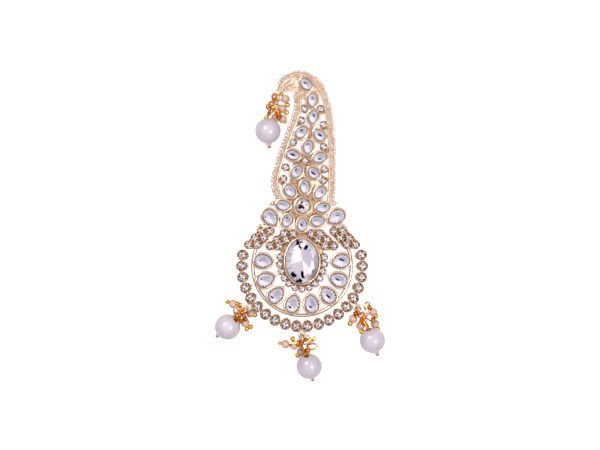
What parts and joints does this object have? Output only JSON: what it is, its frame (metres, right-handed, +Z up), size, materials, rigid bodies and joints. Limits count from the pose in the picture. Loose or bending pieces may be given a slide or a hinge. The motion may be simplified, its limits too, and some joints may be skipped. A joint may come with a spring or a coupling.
{
  "type": "turban ornament",
  "caption": "Brooch-like turban ornament: a round jewelled disc under a beaded, curled plume, with drop stones, an oval crystal and hanging pearl drops.",
  "frame": {"origin": "middle of the footprint, on the surface that the ornament lies on", "axes": "+Z up, the way the front faces; +Y towards the curled tip; +X to the right of the front"},
  "size_m": [0.067, 0.1228, 0.01],
  "materials": {
    "pale_gold": "polished pale rose gold",
    "deep_gold": "polished orange gold",
    "clear_crystal": "clear cut crystal",
    "foiled_crystal": "foil-backed crystal",
    "pearl": "pearly gloss"
  },
  "bodies": {
    "root": {"brooch_pin": "pale_gold", "cast_frame": "pale_gold", "crest_drop_1": "foiled_crystal", "crest_drop_2": "foiled_crystal", "crest_drop_3": "foiled_crystal", "dangle_bottom": "deep_gold", "dangle_left": "deep_gold", "dangle_right": "deep_gold", "dangle_top": "deep_gold", "disc_drop_1": "foiled_crystal", "disc_drop_2": "foiled_crystal", "disc_drop_3": "foiled_crystal", "disc_drop_4": "foiled_crystal", "disc_drop_5": "foiled_crystal", "disc_drop_6": "foiled_crystal", "disc_drop_7": "foiled_crystal", "disc_drop_8": "foiled_crystal", "flower_crystal": "clear_crystal", "flower_drop_1": "foiled_crystal", "flower_drop_2": "foiled_crystal", "flower_drop_3": "foiled_crystal", "flower_drop_4": "foiled_crystal", "flower_drop_5": "foiled_crystal", "flower_drop_6": "foiled_crystal", "flower_drop_7": "foiled_crystal", "flower_drop_8": "foiled_crystal", "halo_chatons": "clear_crystal", "jump_ring_bottom": "pale_gold", "jump_ring_left": "pale_gold", "jump_ring_right": "pale_gold", "jump_ring_top": "pale_gold", "oval_crystal": "clear_crystal", "pair_drop_left": "foiled_crystal", "pair_drop_right": "foiled_crystal", "pave_left_inner": "clear_crystal", "pave_left_outer": "clear_crystal", "pave_right_inner": "clear_crystal", "pave_right_outer": "clear_crystal", "pearl_bottom": "pearl", "pearl_left": "pearl", "pearl_right": "pearl", "pearl_top": "pearl", "rim_chatons": "pale_gold", "shoulder_drop_left": "foiled_crystal", "shoulder_drop_right": "foiled_crystal", "star_drop_1": "foiled_crystal", "star_drop_2": "foiled_crystal", "star_drop_3": "foiled_crystal", "star_drop_4": "foiled_crystal", "star_drop_5": "foiled_crystal"}
  },
  "joints": []
}
